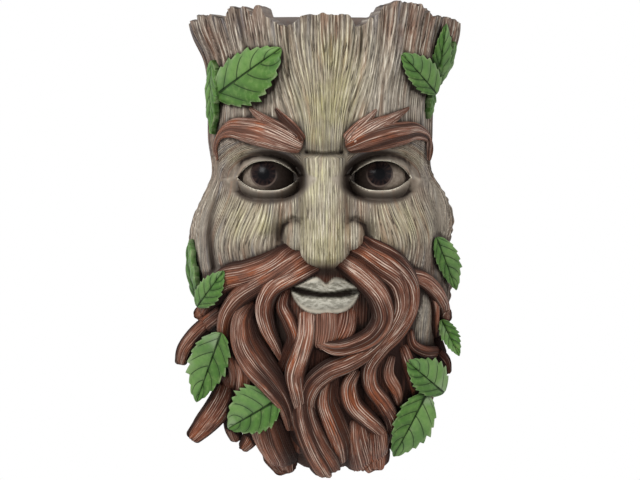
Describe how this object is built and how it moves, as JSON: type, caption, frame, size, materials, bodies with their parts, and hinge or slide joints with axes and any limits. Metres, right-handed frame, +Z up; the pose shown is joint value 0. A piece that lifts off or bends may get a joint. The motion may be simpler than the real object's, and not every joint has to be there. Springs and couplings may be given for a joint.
{
  "type": "tree face wall planter",
  "caption": "Wall-hung planter cast as a tree stump with a bearded face of bark and green leaves, with a pocket open at the top and a flat back.",
  "frame": {"origin": "on the flat back at the middle of the face, 35 mm under the seat of the hanging screw", "axes": "+Z up towards the open rim; -Y the way the face looks; +Y out of the back, into the wall; +X to the viewer's right when looking at the face"},
  "size_m": [0.1806, 0.1176, 0.2968],
  "materials": {
    "painted_resin": "cast resin painted in matt bark greys and browns, with green leaves and glossy eyes"
  },
  "bodies": {
    "root": {"planter": "painted_resin"}
  },
  "joints": []
}
